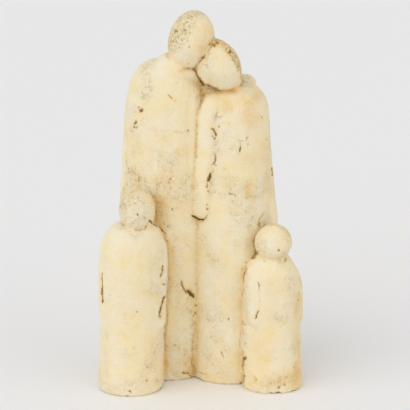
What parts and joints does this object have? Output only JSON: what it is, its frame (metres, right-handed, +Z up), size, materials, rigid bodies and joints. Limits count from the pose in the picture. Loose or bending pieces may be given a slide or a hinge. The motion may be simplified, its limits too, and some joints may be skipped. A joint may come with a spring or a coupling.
{
  "type": "family group sculpture",
  "caption": "Cast family group: two robed adults with blank heads leaning together and a child standing before each, one solid piece on a flat underside.",
  "frame": {"origin": "on the floor, under the middle of the whole group's box", "axes": "+Z up; -Y is the front, where the children stand; +X is to the viewer's right from the front"},
  "size_m": [0.2105, 0.1254, 0.3813],
  "materials": {
    "cream_cast": "matt cream-washed cast stone with ochre rubbed into the hollows and open pinholes"
  },
  "bodies": {
    "root": {"family_group": "cream_cast"}
  },
  "joints": []
}
